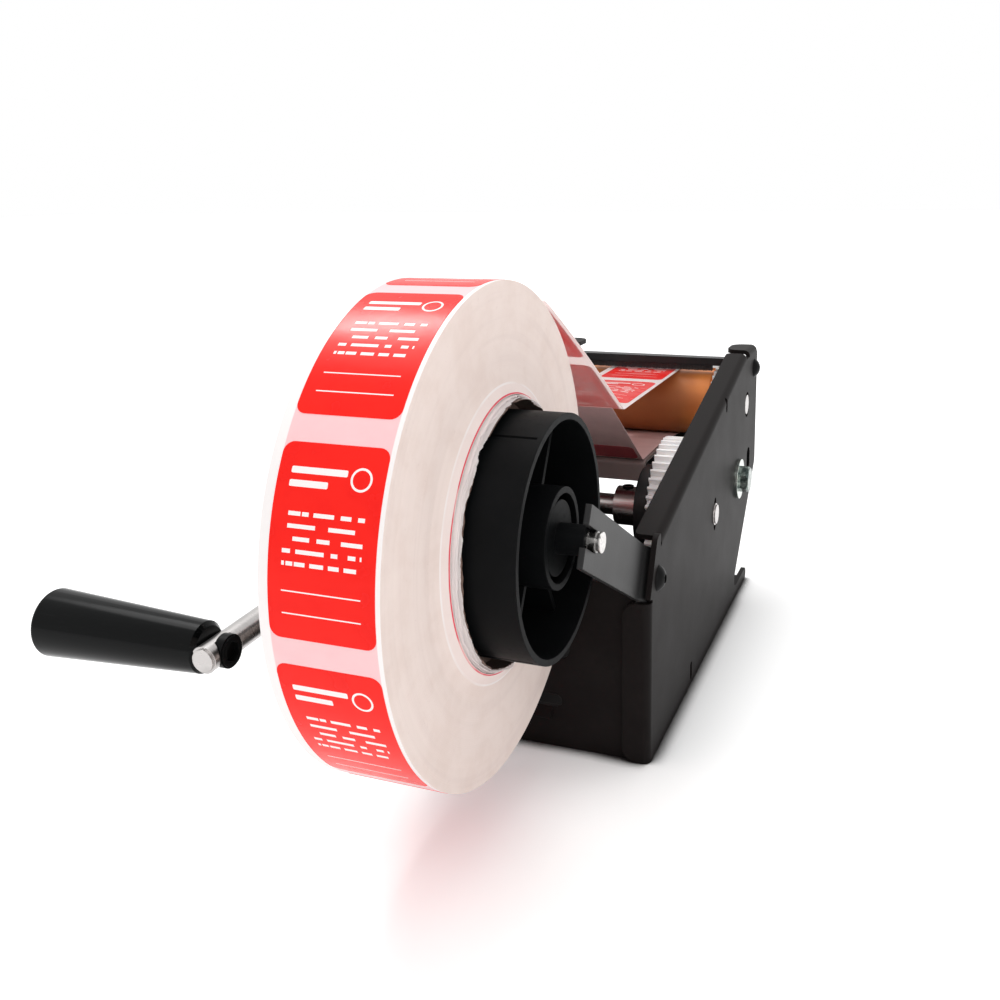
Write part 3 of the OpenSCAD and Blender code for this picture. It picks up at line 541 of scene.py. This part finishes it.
def finish_mesh(name, points, faces, body, finishes, face_finish=None, replaces=(), slot=None,
                places=None, angle=35):
    """Makes one piece from points and faces, shades it, and rides it on its body.

    face_finish gives each face's finish, places each point's place on the web in millimetres, and
    angle the sharpest edge in degrees that is still shaded smooth.
    """
    mesh = bpy.data.meshes.new(name)
    mesh.from_pydata([tuple(p) for p in points], [], faces)
    for finish in finishes:
        mesh.materials.append(finish)
    if face_finish:
        mesh.polygons.foreach_set("material_index", face_finish)
    if places:
        stored = mesh.attributes.new("web_place", "FLOAT_VECTOR", "POINT")
        stored.data.foreach_set("vector", [c for p in places for c in p])
    mesh.shade_smooth()
    mesh.set_sharp_from_angle(angle=math.radians(angle))
    mesh.validate()
    piece = bpy.data.objects.new(name, mesh)
    bpy.context.scene.collection.objects.link(piece)
    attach(piece, body)
    if replaces:
        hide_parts(*replaces)
    return piece


def turned_ring(name, axis, profile, body, finishes, pick=None, steps=360, shift=None, **words):
    """Turns a closed profile of (x, radius) pairs about the roll's axis.

    pick gives the finish between two profile points, shift moves a point in x and radius.
    """
    points, faces, finish_of = [], [], []
    count = len(profile)
    for i in range(steps):
        angle = 2 * math.pi * i / steps
        for j, (x, r) in enumerate(profile):
            dx, dr = shift(angle, j, x, r) if shift else (0.0, 0.0)
            reach = r + dr
            points.append((x + dx, axis.y + reach * math.cos(angle), axis.z + reach * math.sin(angle)))
    for i in range(steps):
        here, there = i * count, (i + 1) % steps * count
        for j in range(count):
            k = (j + 1) % count
            faces.append((here + j, there + j, there + k, here + k))
            finish_of.append(pick(profile[j], profile[k]) if pick else 0)
    return finish_mesh(name, points, faces, body, finishes, finish_of, **words)


class Route:
    """The web's centre line in the Y-Z plane, by length from its start."""

    def __init__(self, points):
        self.points = [Vector((0, y, z)) for y, z in points]
        self.lengths = [0.0]
        for a, b in zip(self.points, self.points[1:]):
            self.lengths.append(self.lengths[-1] + (b - a).length)
        self.length = self.lengths[-1]

    def at(self, s):
        """Point and upper normal at length s."""
        s = min(max(s, 0.0), self.length - 1e-9)
        i = max(k for k, l in enumerate(self.lengths) if l <= s)
        a, b = self.points[i], self.points[i + 1]
        along = (b - a).normalized()
        return a + along * (s - self.lengths[i]), Vector((0, -along.z, along.y))


class RollRoute:
    """A turn round the roll: length is measured from straight behind, over the top."""

    def __init__(self, axis, radius):
        self.axis = axis
        self.radius = radius

    def at(self, s):
        """Point and outward normal at length s."""
        angle = math.pi - s / self.radius
        out = Vector((0, math.cos(angle), math.sin(angle)))
        return self.axis + out * self.radius, out


def rows_between(start, end, corner, step):
    """Stations from start to end, close together in the round corners."""
    rows = []
    if corner:
        rows = [corner * (1 - math.cos(math.radians(a))) for a in range(0, 90, 15)]
    inner = max(2, round((end - start - 2 * corner) / step))
    middle = [start + corner + (end - start - 2 * corner) * i / inner for i in range(inner + 1)]
    return [start + r for r in rows] + middle + [end - r for r in reversed(rows)]


def half_at(s, start, end, half, corner):
    """Half width at s of a strip whose corners are round."""
    near = min(s - start, end - s)
    if near >= corner:
        return half
    return half - corner + math.sqrt(max(0.0, corner ** 2 - (corner - near) ** 2))


def strip(name, route, start, end, half, lift, thick, body, finishes, corner=0.0, step=1.5 * MM, columns=2,
          bow=None, origin=0.0, under=0, middle=0.0, **words):
    """A closed thin strip laid along a route, with its lower face lift above it.

    corner rounds its four corners, bow lifts it, middle sets it off to the right, origin is where
    its own length starts, and under is the finish of its lower face and its edges.
    """
    rows = rows_between(start, end, corner, step)
    points, places, faces, finish_of = [], [], [], []
    for level in (lift, lift + thick):
        for s in rows:
            centre, up = route.at(s)
            width = half_at(s, start, end, half, corner)
            for c in range(columns):
                u = width * (2 * c / (columns - 1) - 1)
                rise = bow(s, u + middle) if bow else 0.0
                points.append(centre + up * (level + rise) + Vector((u + middle, 0, 0)))
                places.append((u / MM, (s - origin) / MM, 0.0))
    layer = len(rows) * columns

    def cell(r, c):
        return r * columns + c

    for r in range(len(rows) - 1):
        for c in range(columns - 1):
            a, b, d, e = cell(r, c), cell(r, c + 1), cell(r + 1, c + 1), cell(r + 1, c)
            faces += [(a, e, d, b), (layer + a, layer + b, layer + d, layer + e)]
            finish_of += [under, 0]
    for r in range(len(rows) - 1):
        for c, flip in ((0, False), (columns - 1, True)):
            a, b = cell(r, c), cell(r + 1, c)
            side = (a, layer + a, layer + b, b)
            faces.append(side[::-1] if flip else side)
            finish_of.append(under)
    for r, flip in ((0, True), (len(rows) - 1, False)):
        for c in range(columns - 1):
            a, b = cell(r, c), cell(r, c + 1)
            side = (a, layer + a, layer + b, b)
            faces.append(side[::-1] if flip else side)
            finish_of.append(under)
    return finish_mesh(name, points, faces, body, finishes, finish_of, places=places, **words)


# ---------------------------------------------------------------- places, from the frame

def middle_of(node):
    """Centre of a round node in the Y-Z plane, and its radius."""
    low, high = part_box(node)
    return Vector((0, (low.y + high.y) / 2, (low.z + high.z) / 2)), (high.z - low.z) / 2


roll_axis, roll_r = middle_of("label_roll")
roller_axis, roller_r = middle_of("drive_roller")
web_low, web_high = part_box("label_web")
liner_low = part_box("waste_liner")[0]
guide_low, guide_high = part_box("guide_plate")
peel_low, peel_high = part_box("peel_plate")
core_r = middle_of("roll_core")[1]
WEB_HALF = (web_high.x - web_low.x) / 2
WEB_THICK = 0.16 * MM
LABEL_THICK = 0.1 * MM
ROLL_LIP = 3.5 * MM                  # how far the turns at the core stand out
ROLL_LIP_R = core_r + 11.7 * MM      # where the turns start to stand out
RED_TURN_R = core_r + 2.1 * MM


def arc_points(centre, radius, start, end, steps=12):
    """Points on an arc in the Y-Z plane, from one angle to another in degrees."""
    return [
        (centre[0] + radius * math.cos(math.radians(start + (end - start) * i / steps)),
         centre[1] + radius * math.sin(math.radians(start + (end - start) * i / steps)))
        for i in range(steps + 1)
    ]


# The web's straight run, its bend and the level run, on the CAD strip's own centre line
WEB_SLOPE = 30.7         # degrees
CLEAR = 0.45 * MM        # from what the strip runs over to its centre line
web_z = peel_high.z + CLEAR
wrap_r = roll_r + CLEAR
web_start = (
    roll_axis.y + wrap_r * math.sin(math.radians(WEB_SLOPE)),
    roll_axis.z + wrap_r * math.cos(math.radians(WEB_SLOPE)),
)
bend_y = web_start[0] + (web_start[1] - web_z) / math.tan(math.radians(WEB_SLOPE))
nose_r = (peel_high.z - peel_low.z) / 2
nose_y = peel_high.y - nose_r
BEND_R = 5 * MM
bend_reach = BEND_R * math.tan(math.radians(WEB_SLOPE / 2))
BEND_STEPS = 8
web_route = Route(
    [web_start]
    + arc_points((bend_y + bend_reach, web_z + BEND_R), BEND_R, 270 - WEB_SLOPE, 270, BEND_STEPS)
    + [(nose_y, web_z)]
)


# ---------------------------------------------------------------- the label roll

ROLL_INSET = 0.3 * MM        # the roll's sides lie this far inside the web's edges
ROLL_STEPS = 56              # steps of a few turns each that show on its sides
STEP_DEPTH = 0.03 * MM
TORN_TURNS = 5
TORN_STATIONS = (0.0, 0.6, 0.8, 0.92, 1.0)     # shares of a torn turn's length
OUTER_TURN_SINK = 0.18 * MM  # the outer turn lies this far inside the roll's full radius
ROLL_LABEL_SINK = 0.17 * MM  # and the lower faces of its labels lie this far inside it
LABELS_AFTER = 6             # labels behind the first full one; one more lies before it


def roll_run_out(r):
    """How far the roll's inner turns stand out to the right."""
    return ROLL_LIP * max(0.0, (ROLL_LIP_R - r) / (ROLL_LIP_R - core_r)) ** 2


def make_roll(finishes):
    """The wound roll: steps of a few turns each on both sides, and turns that stand out by the core."""
    outer = roll_r - OUTER_TURN_SINK
    inner = core_r + 1.75 * MM
    right, left = [], []
    for i in range(ROLL_STEPS + 1):
        r = outer + (inner - outer) * i / ROLL_STEPS
        wander = 0.09 * MM * noise.noise(Vector((i * 0.37, 0.5, 0)))
        step = STEP_DEPTH if i % 2 else 0.0
        x = WEB_HALF - ROLL_INSET + roll_run_out(r) + wander - step
        right.append((x, r))
        left.append((x - 2 * WEB_HALF + 2 * ROLL_INSET + 2 * step, r))
    rim = outer + 0.02 * MM
    profile = [(WEB_HALF - 0.55 * MM, rim)] + right + left[::-1] + [(-WEB_HALF + ROLL_INSET, rim)]

    def pick(a, b):
        return 1 if min(a[1], b[1]) > outer - 0.01 * MM else 0

    def shift(angle, j, x, r):
        wave = noise.noise(Vector((math.cos(angle) * 1.6, math.sin(angle) * 1.6, r / MM * 0.12)))
        return (0.22 * MM * wave, 0.0)

    return turned_ring("wound_roll", roll_axis, profile, "roll", finishes, pick, shift=shift,
                       replaces=("label_roll",), slot="roll_paper")


def make_ragged_turns(core_finish, paper_finish):
    """The core's frayed lip and the torn turns of paper round it, each a thin crinkled sleeve."""
    start = WEB_HALF - 6 * MM
    thick = 0.1 * MM
    last = len(TORN_STATIONS) - 1
    for k in range(TORN_TURNS):
        r = core_r + (0.2 + 0.3 * k) * MM
        reach = WEB_HALF + roll_run_out(r) + (1.7 - 0.3 * max(k, 1)) * MM
        xs = [start + (reach - start) * t for t in TORN_STATIONS]
        profile = [(x, r) for x in xs] + [(x, r + thick) for x in reversed(xs)]

        def shift(angle, j, x, _, k=k):
            station = j if j <= last else 2 * last + 1 - j
            outward = TORN_STATIONS[station] ** 5
            here = Vector((math.cos(angle) * 3.6, math.sin(angle) * 3.6, k * 0.9))
            tear = noise.noise(here) + 0.4 * noise.noise(here * 3.3) + 0.25 * noise.noise(here * 9.0)
            tear *= 0.5 + 1.3 * abs(math.sin(angle)) ** 3
            crinkle = noise.noise(Vector((math.cos(angle) * 7.0, math.sin(angle) * 7.0, x / MM * 0.3)))
            return (min(0.5 * MM, 1.5 * MM * tear) * outward, 0.24 * MM * crinkle * outward)

        turned_ring(f"torn_turn_{k + 1}", roll_axis, profile, "roll", [paper_finish if k else core_finish],
                    steps=480, shift=shift, slot="roll_paper" if k else "core_board", angle=50)


def make_roll_labels(finish):
    """The labels of the outer turn, one pitch apart, from just before the web leaves the roll."""
    route = RollRoute(roll_axis, roll_r)
    per_degree = roll_r * math.pi / 180
    for k in range(-1, LABELS_AFTER + 1):
        end = LABEL_FIRST_TOP * per_degree - k * LABEL_PITCH
        start = end - LABEL_LONG
        strip(f"roll_label_{k + 2}", route, start, end, LABEL_HALF, -ROLL_LABEL_SINK, LABEL_THICK, "roll",
              [finish], corner=LABEL_CORNER, origin=start, middle=LABEL_SHIFT, slot="label_face")


# ---------------------------------------------------------------- the web and the liner

FREE_BOW = 1.6 * MM          # the web's cupping between the roll and its bend
LEVEL_BOW = 1.8 * MM         # and on the level run to the roller
TAIL_SLOPE = 35              # degrees that the liner's loose tail climbs behind the guide plate
TAIL_TURN_R = 4 * MM


def web_bow(s, u):
    """The free web cups a little across its width, most in the middle of each free run."""
    if s < web_route.lengths[1]:
        free = math.sin(math.pi * (s / web_route.lengths[1]) ** 0.7)
        return FREE_BOW * free * (1 - 0.3 * (u / WEB_HALF) ** 2)
    level = s - web_route.lengths[BEND_STEPS + 1]
    free = math.exp(-((level - 22 * MM) / (26 * MM)) ** 2) * min(1.0, level / (12 * MM))
    return LEVEL_BOW * max(0.0, free) * (1 - (u / WEB_HALF) ** 2)


def make_web(under_finish, upper_finish, label_finish):
    """The strip off the roll with its labels, over the roller to the peel edge."""
    strip("web_strip", web_route, 0.0, web_route.length, WEB_HALF, -WEB_THICK / 2, WEB_THICK, "chassis",
          [upper_finish, under_finish], columns=9, bow=web_bow, origin=WEB_LEAD, under=1,
          replaces=("label_web",), slot="label_face")
    start = WEB_LEAD
    number = 1
    while start < web_route.length - 4 * MM:
        end = min(start + LABEL_LONG, web_route.length - 0.5 * MM)
        strip(f"web_label_{number}", web_route, start, end, LABEL_HALF, WEB_THICK / 2, LABEL_THICK,
              "chassis", [label_finish], corner=LABEL_CORNER, columns=9, bow=web_bow, origin=start,
              middle=LABEL_SHIFT, slot="label_face")
        start += LABEL_PITCH
        number += 1


def make_liner(finish, red_finish):
    """The bare liner: round the peel edge and roller, over the guide plate and up as a loose tail."""
    nose = (nose_y, peel_high.z - nose_r)
    wrap_nose = nose_r + CLEAR
    wrap_roller = roller_r + CLEAR
    across = (roller_axis.y - nose[0], roller_axis.z - nose[1])
    reach = math.hypot(*across)
    run = math.degrees(math.atan2(across[1], across[0]) + math.asin((wrap_roller - wrap_nose) / reach))
    liner_z = guide_high.z + CLEAR
    front = (guide_high.y, liner_z)
    to_front = (front[0] - roller_axis.y, front[1] - roller_axis.z)
    bearing = math.atan2(to_front[1], to_front[0])
    leave = math.degrees(bearing + math.acos(wrap_roller / math.hypot(*to_front)))
    leave = leave - 360 if leave > 0 else leave
    tail_from = (guide_low.y, liner_z)
    tail_rise = (guide_low.y - liner_low.y) * math.tan(math.radians(TAIL_SLOPE))
    tail_to = (liner_low.y + 0.1 * MM, liner_z + tail_rise)
    slope = math.atan2(tail_to[1] - tail_from[1], tail_from[0] - tail_to[0])
    turn_middle = (tail_from[0] + TAIL_TURN_R * math.tan(slope / 2), liner_z + TAIL_TURN_R)
    route = Route(
        arc_points(nose, wrap_nose, 90, run + 90, 8)
        + arc_points((roller_axis.y, roller_axis.z), wrap_roller, run + 90, leave, 14)
        + [front]
        + arc_points(turn_middle, TAIL_TURN_R, 270, 270 - math.degrees(slope), 6)
        + [tail_to]
    )
    strip("liner_strip", route, 0.0, route.length, WEB_HALF, -WEB_THICK / 2, WEB_THICK, "chassis",
          [finish], columns=5, replaces=("waste_liner",), slot="liner_paper")
    left_label = route.length - math.hypot(tail_to[0] - tail_from[0], tail_to[1] - tail_from[1])
    strip("stray_label", route, left_label + 1.5 * MM, left_label + 15 * MM, LABEL_HALF, WEB_THICK / 2,
          LABEL_THICK, "chassis", [red_finish], corner=2.5 * MM, columns=5, middle=LABEL_SHIFT,
          slot="label_face")


# ---------------------------------------------------------------- finishes on the CAD pieces

def dress(finish, *nodes):
    """Gives CAD nodes a finish."""
    for name in nodes:
        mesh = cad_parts[name].data
        mesh.materials.clear()
        mesh.materials.append(finish)


steel_black = powder_coat("satin_black_powder_coat", (0.0085, 0.0068, 0.0066), rough=0.46, shine=0.055)
# painted light: the guide plate's flange lies in the roll's shade, so its coat is given a warm grey-brown
# far lighter than the other black sheet steel
guide_painted_light = powder_coat("guide_coat_painted_light", (0.24, 0.19, 0.18), rough=0.36, shine=0.4)
arm_black = powder_coat("roll_arm_powder_coat", (0.018, 0.0178, 0.018), rough=0.42, shine=0.25)
moulded_black = moulded("moulded_black", (0.01, 0.0105, 0.011), rough=0.42)
hub_black = moulded("hub_black", (0.004, 0.0044, 0.0048), rough=0.5, grain=0.01, shine=0.05)
screw_black = moulded("black_oxide", (0.005, 0.005, 0.0052), rough=0.34, grain=0.006, edge=0.25, shine=0.06)
axle_black = moulded("axle_black", (0.004, 0.004, 0.0042), rough=0.8, grain=0.02, shine=0.0)
shaft_steel = turned_steel("ground_shaft", (0.46, 0.43, 0.42))
rod_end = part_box("roll_rod")[1].x / MM
# painted reflection: the rod's body is given a dark steel colour for the black hub it reflects; its end
# face stays bright
rod_painted_reflection = turned_steel("polished_rod_painted_reflection", (0.36, 0.35, 0.34), rough=0.2, lit_end_from=rod_end - 0.4)
lever_steel = turned_steel("plated_lever_bar", (0.5, 0.48, 0.47), rough=0.27, axis=1)
zinc = zinc_plate("bright_zinc", (0.4, 0.45, 0.43), (0.66, 0.68, 0.62))
bolt_zinc = zinc_plate("zinc_bolt", (0.075, 0.1, 0.095), (0.36, 0.41, 0.38))
roll_paper = wound_edge("wound_paper_edge", roll_axis, RED_TURN_R / MM)
core_board = board("core_board")
torn_white = plain_liner("torn_paper", (0.99, 0.96, 0.955), through=0.6)
label_red = label_face("label_print")
web_label_red = label_face("web_label_print", thin=True)
# painted light: bright red show-through near the roll, lit through from above, and painted shade, a duller
# tint, from about 56 millimetres along the web
web_under = liner_face(
    "web_underside", (0.95, 0.3, 0.3), 0.75, shaded_tint=(0.72, 0.5, 0.48), shade_from=56.0,
)
web_upper = liner_face("web_upper", (0.9, 0.62, 0.62), 0.1)
roll_outer = outer_turn("roll_outer_turn")
# painted shade: the waste liner and the stray label on its tail lie in shade, so they are given darker
# colours than the same liner and label red elsewhere
liner = plain_liner("waste_liner_painted_shade", (0.8, 0.57, 0.55))
stray_label_shaded = plain_liner("stray_label_painted_shade", (0.5, 0.04, 0.06))

dress(steel_black, "right_side_plate", "left_side_plate", "base_pan")
dress(guide_painted_light, "guide_plate")
dress(arm_black, "right_roll_arm", "left_roll_arm")
dress(moulded_black, "front_bar", "brush_holder", "shaft_bearings", "roller_bearings", "clutch_hub")
dress(hub_black, "roll_hub")
dress(screw_black, "front_screws", "arm_screws", "collar_set_screw", "hub_set_screw", "grip_screw")
dress(axle_black, "press_axle")
dress(shaft_steel, "lever_shaft", "shaft_collar", "roller_axle", "idler_spacer", "peel_plate", "lever_hub",
      "return_spring")
dress(rod_painted_reflection, "roll_rod")
dress(lever_steel, "lever_arm")
dress(zinc, "idler_washer", "idler_nut", "arm_nuts")
dress(bolt_zinc, "idler_bolt")
dress(nylon("white_nylon"), "drive_gear", "idler_gear", "roller_pinion")
dress(gum_rubber("gum_rubber"), "drive_roller")
dress(black_rubber("black_rubber"), "pressure_roller")
dress(gloss_black("glossy_grip"), "lever_grip")
dress(bristle("brush_bristle"), "brush_bristles")
dress(core_board, "roll_core")

make_roll([roll_paper, roll_outer])
make_ragged_turns(core_board, torn_white)
make_roll_labels(label_red)
make_web(web_under, web_upper, web_label_red)
make_liner(liner, stray_label_shaded)


# ---------------------------------------------------------------- floor, lamps and camera

FLOOR_HALF = 6.0
FLOOR_LIFT = 0.34            # glow that lifts the floor to white where it is seen
CONTACT_REACH = 12 * MM      # how far from the machine the dark line of its contact shadow ends
SHADE_REACH = 45 * MM        # how far from the machine a painted shade makes the floor a little darker
LAMPS_AIM = (0, 0, 0.08)

# The camera, solved from the machine's edges and circles; its angles are in degrees
CAMERA_AZIMUTH = 21.205
CAMERA_ELEVATION = 11.594
CAMERA_ROLL = -0.903
CAMERA_PLACE = (0.1382, -0.4255, 0.2032)
SENSOR_WIDTH = 36.0
LENS = 38.53
CAMERA_SHIFT = (-0.03, -0.10)


def make_floor():
    """A white sweep: the camera sees it lifted to white, the machine's shadow stays on it, and a painted
    contact shadow darkens it near the machine.
    """
    floor = Finish("white_sweep", specular_ior_level=0.1, emission_strength=1.0)
    grain = floor.noise(40, detail=2)
    near, far = (
        floor.node("ShaderNodeAmbientOcclusion", {"samples": 8}, {"Distance": reach}, output="AO")
        for reach in (CONTACT_REACH, SHADE_REACH)
    )
    # painted contact shadow: ambient occlusion darkens the floor's colour and its glow near the machine
    clear = near.ramp(0.5, 0.8) * (far.ramp(0.45, 0.97) * 0.22 + 0.78)
    paper = floor.blend(grain, (0.95, 0.95, 0.95), (0.935, 0.935, 0.935))
    lift = (FLOOR_LIFT, FLOOR_LIFT, FLOOR_LIFT)
    floor.paint(
        base_color=floor.blend(clear, (0.03, 0.027, 0.027), paper),
        roughness=grain * 0.1 + 0.6,
        emission_color=floor.blend(floor.seen() * clear, (0.0, 0.0, 0.0), lift),
    )
    corners = [(x * FLOOR_HALF, y * FLOOR_HALF, 0) for x, y in ((-1, -1), (1, -1), (1, 1), (-1, 1))]
    mesh = bpy.data.meshes.new("floor")
    mesh.from_pydata(corners, [], [(0, 1, 2, 3)])
    mesh.materials.append(floor.done())
    piece = bpy.data.objects.new("floor", mesh)
    bpy.context.scene.collection.objects.link(piece)


def make_lamp(name, kind, place, energy, **shape):
    """A lamp at place that shines on the machine."""
    data = bpy.data.lights.new(name, kind)
    data.energy = energy
    for key, value in shape.items():
        setattr(data, key, value)
    lamp = bpy.data.objects.new(name, data)
    lamp.location = place
    lamp.rotation_euler = (Vector(LAMPS_AIM) - Vector(place)).to_track_quat("-Z", "Y").to_euler()
    bpy.context.scene.collection.objects.link(lamp)


def make_world(strength):
    """White where it is seen, and softer where it only lights the machine."""
    world = bpy.data.worlds.new("studio")
    world.use_nodes = True
    room = Wiring(world.node_tree)
    background = room.tree.nodes["Background"]
    background.inputs["Color"].default_value = (1.0, 1.0, 1.0, 1.0)
    brightness = room.seen() * (1.0 - strength) + strength
    room.tree.links.new(brightness.socket, background.inputs["Strength"])
    bpy.context.scene.world = world


def make_camera():
    """The camera at the photograph's angle."""
    azimuth, elevation, roll = (math.radians(a) for a in (CAMERA_AZIMUTH, CAMERA_ELEVATION, CAMERA_ROLL))
    level = math.cos(elevation)
    back = Vector((math.sin(azimuth) * level, -math.cos(azimuth) * level, math.sin(elevation)))
    right = (-back).cross(Vector((0, 0, 1))).normalized()
    up = right.cross(-back)
    right_rolled = right * math.cos(roll) + up * math.sin(roll)
    up_rolled = up * math.cos(roll) - right * math.sin(roll)
    data = bpy.data.cameras.new("photo_camera")
    data.sensor_width = SENSOR_WIDTH
    data.lens = LENS
    data.shift_x, data.shift_y = CAMERA_SHIFT
    data.clip_start = 0.01
    camera = bpy.data.objects.new("photo_camera", data)
    turn = Matrix((right_rolled, up_rolled, back)).transposed().to_4x4()
    camera.matrix_world = Matrix.Translation(Vector(CAMERA_PLACE)) @ turn
    bpy.context.scene.collection.objects.link(camera)
    bpy.context.scene.camera = camera


make_floor()
make_world(0.62)
make_lamp("overhead_light", "SUN", (-0.4, 0.4, 1.3), 1.15, angle=math.radians(42))
make_lamp("strip_light", "AREA", (-0.67, 0.36, 1.27), 4.6, shape="RECTANGLE", size=0.32, size_y=0.12)
make_lamp("rear_softbox", "AREA", (0.2, -1.1, 1.1), 3.2, shape="RECTANGLE", size=0.8, size_y=0.6)
make_lamp("side_softbox", "AREA", (1.3, -0.9, 0.7), 3.5, shape="RECTANGLE", size=0.8, size_y=0.9,
          color=(1.0, 0.95, 0.93))
make_camera()
bpy.context.scene.view_settings.view_transform = "Standard"
